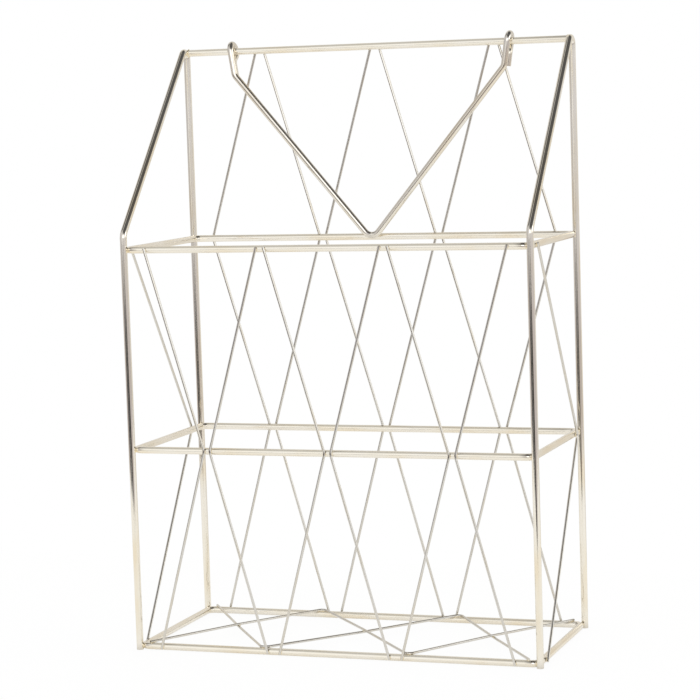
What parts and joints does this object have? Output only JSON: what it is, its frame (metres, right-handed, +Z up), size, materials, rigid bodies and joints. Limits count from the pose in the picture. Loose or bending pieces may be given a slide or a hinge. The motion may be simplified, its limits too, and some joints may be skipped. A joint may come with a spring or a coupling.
{
  "type": "wall magazine rack",
  "caption": "Wall-hung magazine rack of welded pale-gold wire: an open-topped pocket with sloped sides, zigzag infill and a V-shaped hanger that swings on its top bar.",
  "frame": {"origin": "middle of the base between the four posts, on the surface that the rack stands on", "axes": "+Z up along the posts, +Y towards the wall at the back, +X to the right seen from the front"},
  "size_m": [0.244, 0.1107, 0.3512],
  "materials": {
    "frame_wire": "bright pale-gold plating on drawn steel wire",
    "infill_wire": "bright pale-gold plating on thin drawn steel wire",
    "hanger_wire": "bright pale-gold plating on drawn steel wire"
  },
  "bodies": {
    "rack": {"left_side_frame": "frame_wire", "right_side_frame": "frame_wire", "bottom_ring": "frame_wire", "middle_ring": "frame_wire", "upper_ring": "frame_wire", "top_bar": "frame_wire", "front_zigzag_1": "infill_wire", "front_zigzag_2": "infill_wire", "front_zigzag_3": "infill_wire", "front_zigzag_4": "infill_wire", "front_zigzag_5": "infill_wire", "front_zigzag_6": "infill_wire", "rear_zigzag_1": "infill_wire", "rear_zigzag_2": "infill_wire", "rear_zigzag_3": "infill_wire", "rear_zigzag_4": "infill_wire", "rear_zigzag_5": "infill_wire", "rear_zigzag_6": "infill_wire", "left_side_zigzag": "infill_wire", "right_side_zigzag": "infill_wire", "floor_zigzag_a": "infill_wire", "floor_zigzag_b": "infill_wire"},
    "hanger": {"hanger": "hanger_wire"}
  },
  "joints": [
    {"name": "hanger_swing", "type": "hinge", "parent": "rack", "child": "hanger", "pos_m": [0, 0.05049, 0.345], "axis": [-1, 0, 0], "range_deg": [0, 180]}
  ]
}
